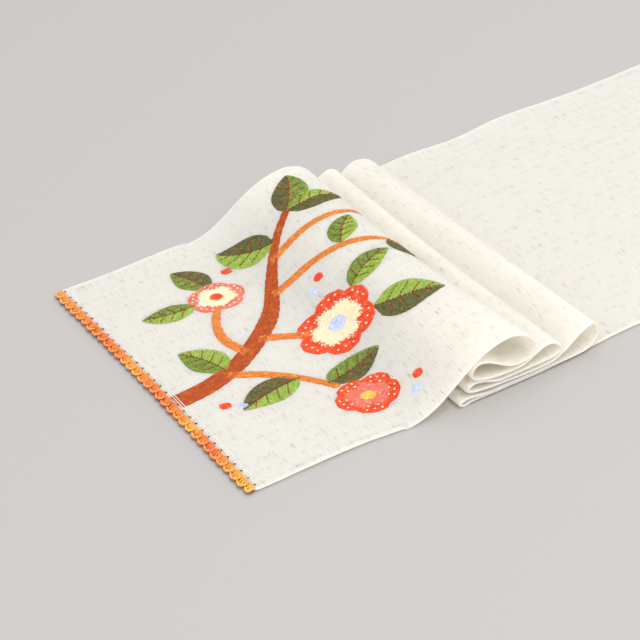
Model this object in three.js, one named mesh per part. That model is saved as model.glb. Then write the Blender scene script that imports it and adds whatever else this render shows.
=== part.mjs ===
// Folded table runner with crochet edging, lying on a table. Millimetres, +Z up.
// The cloth runs back and forth along X, with its decorated hem at the left.
// Its front edge is called near and its back edge far.

import * as THREE from "three";

// The cloth laid out flat.
const runnerLength = 1370;
const runnerWidth = 330;
const clothThickness = 1.4;

// The stitches of the edging enter the cloth this far inside its short hems. Every x below is a
// distance from the line of stitches at the decorated hem.
const stitchInset = 2.7;

// The decorated hem runs slightly askew: it reaches further out towards its far corner.
const hemFlare = 3.2;
const flareStartY = 10;
const flareEndX = 70;

// The folded part lies a little nearer the front than the rest.
const stackSlip = 6.2;
const slipStart = { from: 75, to: 140 };
const foldedSlipEnd = { from: 235, to: 300 };
const levelSlipEnd = { from: 205, to: 295 };

// Crochet edging: a row of shells along each short hem.
const shellCount = 33;
const shellReach = 6.6;
const valleyReach = 4.6;
const endRounding = 8;
const shellHeight = 2.6;
const valleyHeight = 1.7;
const rimHeight = 1.0;
const crownPlace = 0.55;
const shellLean = 1.5;
const leanEasing = 0.3;
const seamGap = 0.3;

// How finely the surfaces are divided.
const widthSteps = 12;
const levelStep = 24;
const shortLevelSteps = 2;
const climbSteps = 7;
const turnSteps = 5;
const stepsPerShell = 6;

// The open folds at the right, from the top one down. A layer starts to climb at climbX, passes its
// crest, turns back at turnX and comes down to its belly.
const openFolds = {
  near: [
    { climbX: 106, crestX: 191.5, crestZ: 38.0, turnX: 210.3, turnZ: 23.5, bellyX: 199, bellyZ: 15.2 },
    { climbX: 195, crestX: 220.2, crestZ: 20.2, turnX: 230.0, turnZ: 12.5, bellyX: 214, bellyZ: 8.6 },
    { climbX: 217, crestX: 255.5, crestZ: 20.6, turnX: 260.6, turnZ: 13.2, bellyX: 246, bellyZ: 2.9 },
  ],
  far: [
    { climbX: 98, crestX: 188.5, crestZ: 35.0, turnX: 211.8, turnZ: 18.5, bellyX: 203, bellyZ: 13.8 },
    { climbX: 206, crestX: 227.0, crestZ: 19.2, turnX: 233.8, turnZ: 14.0, bellyX: 213, bellyZ: 8.4 },
    { climbX: 222, crestX: 250.5, crestZ: 17.6, turnX: 268.8, turnZ: 4.9, bellyX: 265, bellyZ: 2.9 },
  ],
};

// The part of each climb spent near the crest's height, and how round the shoulder beyond it is.
const climbApproach = { near: [0.36, 0.333, 0.333], far: [0.42, 0.333, 0.333] };
const shoulderFullness = { near: [0.58, 0.55, 0.55], far: [0.38, 0.5, 0.34] };

// Halfway across, each open fold lies this much further left than a straight line between its ends.
const foldBows = [-4.9, -2.6, -0.6];
const bowSharpness = 1.3;

// The bends at the left, from the top one down. The layer leaves its belly at riseX, arches over its
// hump, turns back at bendX and settles on its sole.
const backFolds = {
  near: [
    { riseX: 195, humpX: 167.5, humpZ: 27.1, bendX: 159.9, bendZ: 20.0, soleX: 191, soleZ: 12.0 },
    { riseX: 182, humpX: 162.0, humpZ: 14.4, bendX: 155.1, bendZ: 10.5, soleX: 204, soleZ: 5.3 },
    { riseX: 172, humpX: 155.0, humpZ: 5.4, bendX: 148.2, bendZ: 2.8, soleX: 152.4, soleZ: 0.7 },
  ],
  far: [
    { riseX: 200, humpX: 170.0, humpZ: 24.5, bendX: 161.5, bendZ: 18.2, soleX: 187, soleZ: 11.3 },
    { riseX: 184, humpX: 165.0, humpZ: 13.8, bendX: 157.5, bendZ: 10.0, soleX: 206, soleZ: 5.2 },
    { riseX: 176, humpX: 158.5, humpZ: 5.4, bendX: 151.5, bendZ: 2.8, soleX: 155.7, soleZ: 0.7 },
  ],
};

// Places where the level cloth lifts off the table.
const lifts = [
  { x: 383, y: 165, rise: 1.7, halfLength: 50, halfWidth: 110 },
  { x: 55, y: -165, rise: 0.6, halfLength: 40, halfWidth: 60 },
  { x: 640, y: -165, rise: 1.4, halfLength: 70, halfWidth: 90 },
];

// Places where the far edge of the level cloth is drawn in.
const draws = [
  { x: 40, depth: 1.8, halfLength: 62 },
  { x: 344, depth: 3.0, halfLength: 48 },
  { x: 462, depth: 1.8, halfLength: 80 },
];

// How far a curve's handles reach: along an even climb, and round a circle's quarter.
const evenApproach = 0.333;
const roundness = 0.55;

// Small helpers.

const mix = (a, b, part) => a + (b - a) * part;

const smooth = (value, from, to) => {
  const part = Math.min(Math.max((value - from) / (to - from), 0), 1);
  return part * part * (3 - 2 * part);
};

const hill = (distance, halfSize) =>
  Math.abs(distance) < halfSize ? Math.cos((distance / halfSize) * (Math.PI / 2)) ** 2 : 0;

const slipOf = (x, end) =>
  stackSlip * smooth(x, slipStart.from, slipStart.to) * (1 - smooth(x, end.from, end.to));

const hemShift = (y) => -hemFlare * Math.max(0, (y - flareStartY) / (runnerWidth / 2 - flareStartY));

const liftAt = (x, y) => {
  let sum = 0;
  for (const lift of lifts) {
    sum += lift.rise * hill(x - lift.x, lift.halfLength) * hill(y - lift.y, lift.halfWidth);
  }
  return sum;
};

const drawAt = (x) => {
  let sum = 0;
  for (const draw of draws) {
    sum += draw.depth * hill(x - draw.x, draw.halfLength);
  }
  return sum;
};

// The cloth's section. A section point's x is its distance along the table and its y is its height.

function rowAcross(table, index, across) {
  const row = {};
  for (const name of Object.keys(table.near[index])) {
    row[name] = mix(table.near[index][name], table.far[index][name], across);
  }
  return row;
}

// From one level stretch up or down to another.
function climb(from, to, approach = evenApproach) {
  const leaving = new THREE.Vector2(mix(from.x, to.x, evenApproach), from.y);
  const arriving = new THREE.Vector2(mix(to.x, from.x, approach), to.y);
  return new THREE.CubicBezierCurve(from, leaving, arriving, to);
}

// A quarter turn from a level point to an upright one.
function turnUpright(level, upright, fullness) {
  const leaving = new THREE.Vector2(mix(level.x, upright.x, fullness), level.y);
  const arriving = new THREE.Vector2(upright.x, mix(upright.y, level.y, 1 - fullness));
  return new THREE.CubicBezierCurve(level, leaving, arriving, upright);
}

// A quarter turn from an upright point to a level one.
function turnLevel(upright, level, fullness) {
  const leaving = new THREE.Vector2(upright.x, mix(upright.y, level.y, fullness));
  const arriving = new THREE.Vector2(mix(level.x, upright.x, 1 - fullness), level.y);
  return new THREE.CubicBezierCurve(upright, leaving, arriving, level);
}

// The stretches of cloth at one place across the width, from the hem to the last bend's sole.
function foldedStretches(across) {
  const stretches = [];
  const add = (curve, steps, onTable = false) => stretches.push({ curve, steps, onTable });
  let end = new THREE.Vector2(-stitchInset, clothThickness / 2);
  for (let index = 0; index < openFolds.near.length; index += 1) {
    const open = rowAcross(openFolds, index, across);
    const back = rowAcross(backFolds, index, across);
    const bow = foldBows[index] * Math.sin(across * Math.PI) ** bowSharpness;
    const approach = mix(climbApproach.near[index], climbApproach.far[index], across);
    const fullness = mix(shoulderFullness.near[index], shoulderFullness.far[index], across);
    const foot = new THREE.Vector2(open.climbX, end.y);
    const crest = new THREE.Vector2(open.crestX + bow, open.crestZ);
    const turn = new THREE.Vector2(open.turnX + bow, open.turnZ);
    const belly = new THREE.Vector2(open.bellyX + bow, open.bellyZ);
    const rise = new THREE.Vector2(back.riseX + bow, open.bellyZ);
    const hump = new THREE.Vector2(back.humpX, back.humpZ);
    const bend = new THREE.Vector2(back.bendX, back.bendZ);
    const sole = new THREE.Vector2(back.soleX, back.soleZ);
    const firstSteps = Math.round(openFolds.near[0].climbX / levelStep);
    add(new THREE.LineCurve(end, foot), index === 0 ? firstSteps : shortLevelSteps, index === 0);
    add(climb(foot, crest, approach), climbSteps);
    add(turnUpright(crest, turn, fullness), turnSteps);
    add(turnLevel(turn, belly, roundness), turnSteps);
    add(new THREE.LineCurve(belly, rise), shortLevelSteps);
    add(climb(rise, hump), climbSteps);
    add(turnUpright(hump, bend, roundness), turnSteps);
    add(turnLevel(bend, sole, roundness), turnSteps);
    end = sole;
  }
  return stretches;
}

// The last layer runs along the table for what is left of the cloth's length.
function findFarHem() {
  const middleOfWidth = 0.5;
  const stretches = foldedStretches(middleOfWidth);
  const used = stretches.reduce((sum, stretch) => sum + stretch.curve.getLength(), 0);
  const lastSole = stretches[stretches.length - 1].curve.v3;
  return lastSole.x + runnerLength - used;
}

const endHemX = findFarHem();

function allStretches(across) {
  const stretches = foldedStretches(across);
  const lastSole = stretches[stretches.length - 1].curve.v3;
  const end = new THREE.Vector2(endHemX, lastSole.y);
  const steps = Math.round((endHemX - backFolds.near[2].soleX) / levelStep);
  stretches.push({ curve: new THREE.LineCurve(lastSole, end), steps, onTable: true });
  return stretches;
}

// One line of points along the cloth, with the direction square to the cloth at each.
function sectionLine(across) {
  const line = [];
  const stretches = allStretches(across);
  stretches.forEach(({ curve, steps, onTable }, order) => {
    for (let step = order === 0 ? 0 : 1; step <= steps; step += 1) {
      const place = curve.getPoint(step / steps);
      const along = curve.getTangent(step / steps);
      line.push({ x: place.x, z: place.y, outX: -along.y, outZ: along.x, onTable });
    }
  });
  return line;
}

// Turns a grid of front points and one of back points into one closed sheet.
function closedSheet(frontRows, backRows) {
  const rowCount = frontRows.length;
  const columnCount = frontRows[0].length;
  const positions = [...frontRows, ...backRows].flat(2);
  const front = (row, column) => row * columnCount + column;
  const back = (row, column) => (rowCount + row) * columnCount + column;
  const indices = [];
  const quad = (a, b, c, d) => indices.push(a, b, c, a, c, d);
  for (let row = 0; row < rowCount - 1; row += 1) {
    for (let column = 0; column < columnCount - 1; column += 1) {
      const next = column + 1;
      quad(front(row, column), front(row, next), front(row + 1, next), front(row + 1, column));
      quad(back(row, column), back(row + 1, column), back(row + 1, next), back(row, next));
    }
    const last = columnCount - 1;
    quad(back(row, 0), front(row, 0), front(row + 1, 0), back(row + 1, 0));
    quad(front(row, last), back(row, last), back(row + 1, last), front(row + 1, last));
  }
  for (let column = 0; column < columnCount - 1; column += 1) {
    const last = rowCount - 1;
    const next = column + 1;
    quad(front(0, column), back(0, column), back(0, next), front(0, next));
    quad(back(last, column), front(last, column), front(last, next), back(last, next));
  }
  const geometry = new THREE.BufferGeometry();
  geometry.setAttribute("position", new THREE.Float32BufferAttribute(positions, 3));
  geometry.setIndex(indices);
  geometry.computeVertexNormals();
  return geometry;
}

function clothGeometry() {
  const half = clothThickness / 2;
  const upperRows = [];
  const lowerRows = [];
  for (let row = 0; row <= widthSteps; row += 1) {
    const across = row / widthSteps;
    const flatY = mix(-runnerWidth / 2, runnerWidth / 2, across);
    const upper = [];
    const lower = [];
    for (const { x, z, outX, outZ, onTable } of sectionLine(across)) {
      const flare = onTable ? hemShift(flatY) * (1 - smooth(x, 0, flareEndX)) : 0;
      const drawn = onTable ? drawAt(x) * across : 0;
      const lifted = onTable ? liftAt(x, flatY) : 0;
      const y = flatY - slipOf(x, onTable ? levelSlipEnd : foldedSlipEnd) - drawn;
      upper.push([x + flare + outX * half, y, z + lifted + outZ * half]);
      lower.push([x + flare - outX * half, y, z + lifted - outZ * half]);
    }
    upperRows.push(upper);
    lowerRows.push(lower);
  }
  return closedSheet(upperRows, lowerRows);
}

// A strip of crochet shells that reaches away from its hem towards -X, with the hem near x = 0.
function edgingGeometry(shiftOfHem) {
  const stationCount = shellCount * stepsPerShell;
  const upperRows = [[], [], []];
  const lowerRows = [[], [], []];
  for (let station = 0; station <= stationCount; station += 1) {
    const part = station / stationCount;
    const y = mix(-runnerWidth / 2, runnerWidth / 2, part);
    const fromEnd = Math.min(part, 1 - part) * runnerWidth;
    const rounding = Math.sqrt(smooth(fromEnd, -endRounding, endRounding));
    const swell = Math.sqrt(Math.abs(Math.sin((station / stepsPerShell) * Math.PI)));
    const reach = mix(valleyReach, shellReach, swell) * rounding;
    const crown = mix(valleyHeight, shellHeight, swell);
    const lean = shellLean * Math.sin(part * Math.PI) ** leanEasing;
    const hem = shiftOfHem(y) - seamGap;
    const crownX = hem - reach * crownPlace;
    upperRows[0].push([hem, y, clothThickness]);
    upperRows[1].push([crownX, y - lean * crownPlace, crown]);
    upperRows[2].push([hem - reach, y - lean, rimHeight]);
    lowerRows[0].push([hem, y, 0]);
    lowerRows[1].push([crownX, y - lean * crownPlace, 0]);
    lowerRows[2].push([hem - reach, y - lean, 0]);
  }
  return closedSheet(upperRows, lowerRows);
}

// The pieces.

const group = new THREE.Group();
const linen = new THREE.MeshStandardMaterial({ color: 0xf0ebdf, roughness: 0.95, metalness: 0 });
const orangeYarn = new THREE.MeshStandardMaterial({ color: 0xe8762c, roughness: 0.9, metalness: 0 });

const cloth = new THREE.Mesh(clothGeometry(), linen);
cloth.name = "runner_cloth";
group.add(cloth);

const startEdging = new THREE.Mesh(edgingGeometry(hemShift), orangeYarn);
startEdging.name = "edging_start";
startEdging.position.x = -stitchInset;
group.add(startEdging);

const endEdging = new THREE.Mesh(edgingGeometry(() => 0), orangeYarn.clone());
endEdging.name = "edging_end";
endEdging.position.x = endHemX;
endEdging.rotation.z = Math.PI;
group.add(endEdging);

// The origin is the middle of the footprint, on the table.
const footprint = new THREE.Box3().setFromObject(group);
const middle = footprint.getCenter(new THREE.Vector3());
group.position.set(-middle.x, -middle.y, -footprint.min.z);

export default group;
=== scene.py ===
# Folded table runner: a linen-cotton cloth with an embroidered end and crochet edging.
# Lengths in the tables are millimetres. x runs along the cloth from the row of edging stitches at the
# embroidered hem, y runs across it from its middle, and z is the height over the table.
import math

import bpy
import numpy as np
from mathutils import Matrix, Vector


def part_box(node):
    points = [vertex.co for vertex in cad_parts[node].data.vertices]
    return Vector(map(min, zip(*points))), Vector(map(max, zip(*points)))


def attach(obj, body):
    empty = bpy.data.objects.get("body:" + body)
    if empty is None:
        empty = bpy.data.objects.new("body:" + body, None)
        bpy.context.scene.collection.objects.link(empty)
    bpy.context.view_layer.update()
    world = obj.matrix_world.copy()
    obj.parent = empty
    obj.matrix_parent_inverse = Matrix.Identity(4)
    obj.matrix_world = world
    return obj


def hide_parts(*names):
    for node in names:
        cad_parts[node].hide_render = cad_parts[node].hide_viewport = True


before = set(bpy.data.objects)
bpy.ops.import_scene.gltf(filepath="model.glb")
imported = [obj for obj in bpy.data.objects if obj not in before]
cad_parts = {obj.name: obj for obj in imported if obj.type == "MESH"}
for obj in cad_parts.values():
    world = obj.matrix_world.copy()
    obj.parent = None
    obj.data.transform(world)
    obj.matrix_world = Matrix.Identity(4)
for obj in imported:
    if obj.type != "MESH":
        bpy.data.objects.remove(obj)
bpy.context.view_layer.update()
mm = 0.001
chance = np.random.default_rng(11)
print("frame loaded:", sorted(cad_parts))

# The camera comes first. It is held a little askew, as the picture was taken.
cameraView = {
    "position": (-817.05, -1271.2, 825.8),
    "turn": (58.528, 8.906, -27.832),  # degrees
    "lens": 126.0,
}


def deselectAll():
    if bpy.context.object and bpy.context.object.mode != "OBJECT":
        bpy.ops.object.mode_set(mode="OBJECT")
    bpy.ops.object.select_all(action="DESELECT")


def placeCamera():
    deselectAll()
    bpy.ops.object.camera_add(
        location=[value * mm for value in cameraView["position"]],
        rotation=[math.radians(angle) for angle in cameraView["turn"]],
    )
    camera = bpy.context.object
    camera.data.lens = cameraView["lens"]
    bpy.context.scene.camera = camera


placeCamera()
print("camera placed")


# Materials start here.

def colour(hexCode):
    # sRGB hex to the linear values that the nodes take
    parts = [int(hexCode[start:start + 2], 16) / 255 for start in (1, 3, 5)]
    linear = [part / 12.92 if part <= 0.04045 else ((part + 0.055) / 1.055) ** 2.4 for part in parts]
    return (*linear, 1.0)


readFrom = {"Mix": 2, "Attribute": "Fac", "TexCoord": "Object"}  # other nodes, from their first output


def addNode(tree, kind, settings=None, links=None, stops=None):
    # settings name an input or a property, and links join other nodes' outputs to this one's inputs
    node = tree.nodes.new("ShaderNode" + kind)
    for name, value in (settings or {}).items():
        if isinstance(name, int) or name in node.inputs:
            node.inputs[name].default_value = value
        else:
            setattr(node, name, value)
    for name, output in (links or {}).items():
        tree.links.new(output, node.inputs[name])
    if stops:
        while len(node.color_ramp.elements) < len(stops):
            node.color_ramp.elements.new(1.0)
        for element, (place, shade) in zip(node.color_ramp.elements, stops):
            element.position = place
            element.color = shade
    return node.outputs[readFrom.get(kind, 0)]


def startMaterial(name, finish):
    # finish holds the shader's own values, by the names of its sockets
    material = bpy.data.materials.new(name)
    material.use_nodes = True
    tree = material.node_tree
    shader = tree.nodes["Principled BSDF"]
    for socket, value in finish.items():
        shader.inputs[socket].default_value = value
    return material, tree, shader


def joinShader(tree, shader, shade, height, look):
    bump = addNode(tree, "Bump", {"Strength": look["bumpStrength"], "Distance": look["bumpDepth"] * mm},
            {"Height": height})
    tree.links.new(shade, shader.inputs["Base Color"])
    tree.links.new(bump, shader.inputs["Normal"])


def twistOf(tree, ply):
    # a wave that winds round a strand, whose UV map holds the mm along it and round it
    strand = addNode(tree, "UVMap", {"uv_map": "UVMap"})
    split = addNode(tree, "SeparateXYZ", links={0: strand}).node.outputs
    slant = addNode(tree, "Math", {"operation": "ADD"}, {0: split[0], 1: split[1]})
    turn = addNode(tree, "Math", {"operation": "MULTIPLY", 1: 2 * math.pi / ply}, {0: slant})
    return addNode(tree, "Math", {"operation": "SINE"}, {0: turn})


black = (0.0, 0.0, 0.0, 1.0)
white = (1.0, 1.0, 1.0, 1.0)

# Undyed linen and cotton in plain weave, washed and pressed: dull and dry, with uneven slub threads and
# short dark flecks of flax that lie along the weft. It is thin enough to glow where light comes through,
# as it does inside the folds. The real threads are 0.5 mm apart. They are drawn 0.9 mm apart, because
# finer ones wouldn't show.
linen = {
    "warm": "#FEFFFF",
    "cool": "#FBFEFF",
    "tonePerMm": 0.012,
    # noise drawn out along the threads: waves per mm, start, detail, and the levels that it shows between
    "streaks": {
        "weft": ((1.15, 0.07), (0, 0, 0), 2.0, 0.42, 0.72),
        "warp": ((0.05, 0.9), (31, 17, 0), 2.0, 0.50, 0.82),
        "bands": ((0.09, 0.004), (5, 9, 0), 2.0, 0.40, 0.75),
        "grain": ((1.3, 0.14), (13, 57, 0), 3.0, 0.50, 0.80),
        "flecks": ((2.3, 0.085), (71, 43, 0), 0.0, 0.68, 0.78),
    },
    "streakRoughness": 0.6,
    "shades": [("slubs", "#FAFCF8", 0.55), ("bands", "#FAFCF8", 0.22),
               ("grain", "#CBC3B6", 0.42), ("flecks", "#6E665A", 0.85)],  # the last is each one's strength
    "threadSpacing": 0.9,
    "threadRelief": 0.5,  # against that of the slubs
    "bumpDepth": 0.10,
    "bumpStrength": 0.55,
    "glow": 0.60,  # the share of the light that goes through the cloth
    "glowTint": "#FFFAF1",
    "edgeWidth": 1.4,
    "edgeBlend": 0.8,
    "edgeGlow": 0.85,  # of the rest: the turned edge is three layers thick
    "finish": {"Roughness": 0.92, "Sheen Weight": 0.15, "Sheen Roughness": 0.6, "Specular IOR Level": 0.2},
}


def makeLinen():
    material, tree, shader = startMaterial("slub linen-cotton plain weave", linen["finish"])
    flat = addNode(tree, "UVMap", {"uv_map": "UVMap"})  # the cloth laid out, in mm
    layers = {}
    for name, (perMm, start, detail, low, high) in linen["streaks"].items():
        mapping = addNode(tree, "Mapping", {"Scale": (*perMm, 1.0), "Location": start}, {"Vector": flat})
        noise = addNode(tree, "TexNoise",
                {"Scale": 1.0, "Detail": detail, "Roughness": linen["streakRoughness"]}, {"Vector": mapping})
        layers[name] = addNode(tree, "ValToRGB", links={0: noise}, stops=[(low, black), (high, white)])
    slubs = addNode(tree, "Math", {"operation": "ADD", "use_clamp": True},
            {0: layers["weft"], 1: layers["warp"]})
    layers["slubs"] = slubs
    tone = addNode(tree, "TexNoise", {"Scale": linen["tonePerMm"], "Detail": 3.0}, {"Vector": flat})
    shade = addNode(tree, "Mix", {"data_type": "RGBA", 6: colour(linen["warm"]), 7: colour(linen["cool"])},
            {0: tone})
    for name, code, strength in linen["shades"]:
        part = addNode(tree, "Math", {"operation": "MULTIPLY", 1: strength}, {0: layers[name]})
        shade = addNode(tree, "Mix", {"data_type": "RGBA", 7: colour(code)}, {0: part, 6: shade})

    # over and under: the two sets of threads meet in a chequer of rounded bumps
    place = addNode(tree, "SeparateXYZ", links={0: flat}).node.outputs
    waves = []
    for axis in (0, 1):
        angle = addNode(tree, "Math", {"operation": "MULTIPLY", 1: math.pi / linen["threadSpacing"]},
                {0: place[axis]})
        waves.append(addNode(tree, "Math", {"operation": "SINE"}, {0: angle}))
    chequer = addNode(tree, "Math", {"operation": "MULTIPLY"}, {0: waves[0], 1: waves[1]})
    relief = addNode(tree, "Math", {"operation": "MULTIPLY_ADD", 1: linen["threadRelief"]},
            {0: chequer, 2: slubs})
    joinShader(tree, shader, shade, relief, linen)

    # light that goes through, a little less of it along the turned edges
    through = addNode(tree, "BsdfTranslucent", {"Color": colour(linen["glowTint"])})
    fromMiddle = addNode(tree, "Math", {"operation": "ABSOLUTE"}, {0: place[1]})
    edge = halfWidth - linen["edgeWidth"]
    glow = addNode(tree, "MapRange", {"From Min": edge, "From Max": edge + linen["edgeBlend"],
            "To Min": linen["glow"], "To Max": linen["glow"] * linen["edgeGlow"]}, {"Value": fromMiddle})
    both = addNode(tree, "MixShader", links={0: glow, 1: shader.outputs[0], 2: through})
    tree.links.new(both, tree.nodes["Material Output"].inputs["Surface"])
    return material


# Rayon embroidery thread, two plies twisted and satin stitched: soft gloss along the thread, and no two
# stitches quite of one tone. The twist is drawn at 0.7 mm, twice its real size.
threadColours = {  # light, dark and the marl between them
    "stem": ("#BC5012", "#913A0B", "#D6722A"),
    "twig": ("#E68A3C", "#BC6424", "#F5AE5E"),
    "leafLight": ("#9CB64C", "#789236", "#BCCB74"),
    "leafMid": ("#7E963A", "#5A702A", "#A2AE56"),
    "leafDark": ("#646A3A", "#434A28", "#B0763E"),
    "vein": ("#8E3F14", "#5C2810", "#B4551F"),
    "petalRed": ("#EE4E22", "#C93A1A", "#F7987A"),
    "petalRose": ("#E67E6A", "#C85E4C", "#F3B7A4"),
    "cream": ("#F3EBCF", "#E0D2AA", "#E9CA92"),
    "yellow": ("#F6C35A", "#DE9E35", "#FBE09A"),
    "paleBlue": ("#CFD8F0", "#A9B7DA", "#EEF1FA"),
    "hemThread": ("#FBF7EC", "#F1EBDD", "#FDFAF2"),
}
threadLook = {
    "grainPerMetre": 620.0,  # specks of 1.6 mm
    "grainStrength": 1.5,
    "grainMiddle": -0.6,
    "toneStrength": 0.8,
    "marlPerMetre": 300.0,  # patches of 3.3 mm
    "marlFrom": 0.53,
    "marlTo": 0.66,
    "marlStrength": 0.6,
    "ply": 0.7,
    "bumpDepth": 0.08,
    "bumpStrength": 0.3,
    "finish": {"Roughness": 0.55, "Sheen Weight": 0.02, "Specular IOR Level": 0.16},
}


def makeThread(name):
    look = threadLook
    light, dark, marl = threadColours[name]
    material, tree, shader = startMaterial("rayon embroidery thread " + name, look["finish"])
    tone = addNode(tree, "Attribute", {"attribute_name": "stitchToneAndShadeLevel"})
    place = addNode(tree, "TexCoord")
    grain = addNode(tree, "TexNoise", {"Scale": look["grainPerMetre"], "Detail": 2.0}, {"Vector": place})
    shift = addNode(tree, "Math", {"operation": "MULTIPLY_ADD", 1: look["grainStrength"],
            2: look["grainMiddle"]}, {0: grain})
    part = addNode(tree, "Math", {"operation": "MULTIPLY_ADD", "use_clamp": True, 1: look["toneStrength"]},
            {0: tone, 2: shift})
    plain = addNode(tree, "Mix", {"data_type": "RGBA", 6: colour(light), 7: colour(dark)}, {0: part})
    patch = addNode(tree, "TexNoise", {"Scale": look["marlPerMetre"], "Detail": 4.0, "Roughness": 0.7},
            {"Vector": place})
    patchRamp = addNode(tree, "ValToRGB", links={0: patch},
            stops=[(look["marlFrom"], black), (look["marlTo"], white)])
    marled = addNode(tree, "Math", {"operation": "MULTIPLY", 1: look["marlStrength"]}, {0: patchRamp})
    shade = addNode(tree, "Mix", {"data_type": "RGBA", 7: colour(marl)}, {0: marled, 6: plain})
    joinShader(tree, shader, shade, twistOf(tree, look["ply"]), look)
    return material


# Mercerised crochet cotton, space dyed in yellow, orange and red-orange lengths: dull, with a visible
# two-ply twist at 1.2 mm and a little fuzz.
crochetCotton = {
    "dye": [(-165, "#F4BF45"), (-146, "#F4A938"), (-128, "#F48C2E"), (-104, "#EF6824"), (-90, "#F17B29"),
            (-75, "#F4B83C"), (-58, "#F49431"), (-30, "#EF6E28"), (2, "#F17D29"), (25, "#F4A336"),
            (45, "#F2872F"), (70, "#EF6A24"), (110, "#F1812B"), (165, "#F49B45")],  # across the cloth
    "wanderPerMetre": [70.0, 330.0],  # how far apart the dye strays: 14 mm, and 3 mm for the marl
    "wander": 0.12,
    # painted shade between the plies and low in the stitches, and a painted highlight on their backs: two
    # levels, how strong it is at the first and at the second, and the painted colour
    "shades": [
        ("twist", -1.0, -0.2, 0.35, 0.0, "#9C380C"),
        ("rise", -0.25, 0.3, 0.85, 0.0, "#9C380C"),
        ("rise", 0.38, 0.62, 0.0, 0.5, "#F6D898"),
    ],
    "ply": 1.2,
    "fuzzPerMetre": 2600.0,
    "fuzzRelief": 0.6,
    "bumpDepth": 0.18,
    "bumpStrength": 0.6,
    "finish": {"Roughness": 0.8, "Sheen Weight": 0.08, "Specular IOR Level": 0.2},
}


def makeCrochetCotton():
    look = crochetCotton
    material, tree, shader = startMaterial("space dyed crochet cotton", look["finish"])
    place = addNode(tree, "TexCoord")
    split = addNode(tree, "SeparateXYZ", links={0: place}).node.outputs
    onRamp = addNode(tree, "MapRange",
            {"From Min": (originY - halfWidth) * mm, "From Max": (originY + halfWidth) * mm},
            {"Value": split[1]})
    moved = addNode(tree, "Math", {"operation": "SUBTRACT", 1: look["wander"]}, {0: onRamp})
    for perMetre in look["wanderPerMetre"]:
        stray = addNode(tree, "TexNoise", {"Scale": perMetre, "Detail": 2.0}, {"Vector": place})
        moved = addNode(tree, "Math", {"operation": "MULTIPLY_ADD", 1: look["wander"]},
                {0: stray, 2: moved})
    stops = [((y + halfWidth) / (2 * halfWidth), colour(code)) for y, code in look["dye"]]
    shade = addNode(tree, "ValToRGB", links={0: moved}, stops=stops)
    twist = twistOf(tree, look["ply"])
    # for yarn this level is how high a place lies in its strand, which sets the painted shade and highlight
    levels = {"twist": twist, "rise": addNode(tree, "Attribute", {"attribute_name": "stitchToneAndShadeLevel"})}
    # painted shade in the ply grooves and on the strands' low sides, painted highlight on their tops
    for name, low, high, atLow, atHigh, code in look["shades"]:
        levelsAt = {"From Min": low, "From Max": high, "To Min": atLow, "To Max": atHigh}
        part = addNode(tree, "MapRange", levelsAt, {"Value": levels[name]})
        shade = addNode(tree, "Mix", {"data_type": "RGBA", 7: colour(code)}, {0: part, 6: shade})
    fuzz = addNode(tree, "TexNoise", {"Scale": look["fuzzPerMetre"], "Detail": 2.0}, {"Vector": place})
    height = addNode(tree, "Math", {"operation": "MULTIPLY_ADD", 1: look["fuzzRelief"]},
            {0: fuzz, 2: twist})
    joinShader(tree, shader, shade, height, look)
    return material


# The cloth. Its section is the one that the solid has: level, up over a crest, back under it, over a
# hump at the left and down again, three times, then on along the table.
runner = {"length": 1370.0, "width": 330.0, "thickness": 1.3, "solidThickness": 1.4, "stitchInset": 2.7}
halfWidth = runner["width"] / 2
hemFlare = {"depth": 3.2, "fromY": 10.0, "endX": 70.0}
stackSlip = {"depth": 6.2, "startX": (75, 140), "foldedEndX": (235, 300), "levelEndX": (205, 295)}
folds = {  # of the three folds, from the top down: first at the near edge, then at the far edge
    "climbX": ([106, 195, 217], [98, 206, 222]),
    "crestX": ([191.5, 220.2, 255.5], [188.5, 227.0, 250.5]),
    "crestZ": ([38.0, 20.2, 20.6], [35.0, 19.2, 17.6]),
    "turnX": ([210.3, 230.0, 260.6], [211.8, 233.8, 268.8]),
    "turnZ": ([23.5, 12.5, 13.2], [18.5, 14.0, 4.9]),
    "bellyX": ([199, 214, 246], [203, 213, 265]),
    "bellyZ": ([15.2, 8.6, 2.9], [13.8, 8.4, 2.9]),
    "riseX": ([195, 182, 172], [200, 184, 176]),
    "humpX": ([167.5, 162.0, 155.0], [170.0, 165.0, 158.5]),
    "humpZ": ([27.1, 14.4, 5.4], [24.5, 13.8, 5.4]),
    "bendX": ([159.9, 155.1, 148.2], [161.5, 157.5, 151.5]),
    "bendZ": ([20.0, 10.5, 2.8], [18.2, 10.0, 2.8]),
    "soleX": ([191, 204, 152.4], [187, 206, 155.7]),
    "soleZ": ([12.0, 5.3, 0.7], [11.3, 5.2, 0.7]),
    "approach": ([0.36, 0.333, 0.333], [0.42, 0.333, 0.333]),
    "fullness": ([0.58, 0.55, 0.55], [0.38, 0.5, 0.34]),
}
foldBows = {"depths": [-4.9, -2.6, -0.6], "sharpness": 1.3}
# low rises of the cloth, by x, y, height, half length and half width
lifts = [(383, 165, 1.7, 50, 110), (55, -165, 0.6, 40, 60), (640, -165, 1.4, 70, 90)]
draws = [(40, 1.8, 62), (344, 3.0, 48), (462, 1.8, 80)]  # x, depth and half length of each pull on an edge
evenApproach = 0.333
roundness = 0.55

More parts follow.
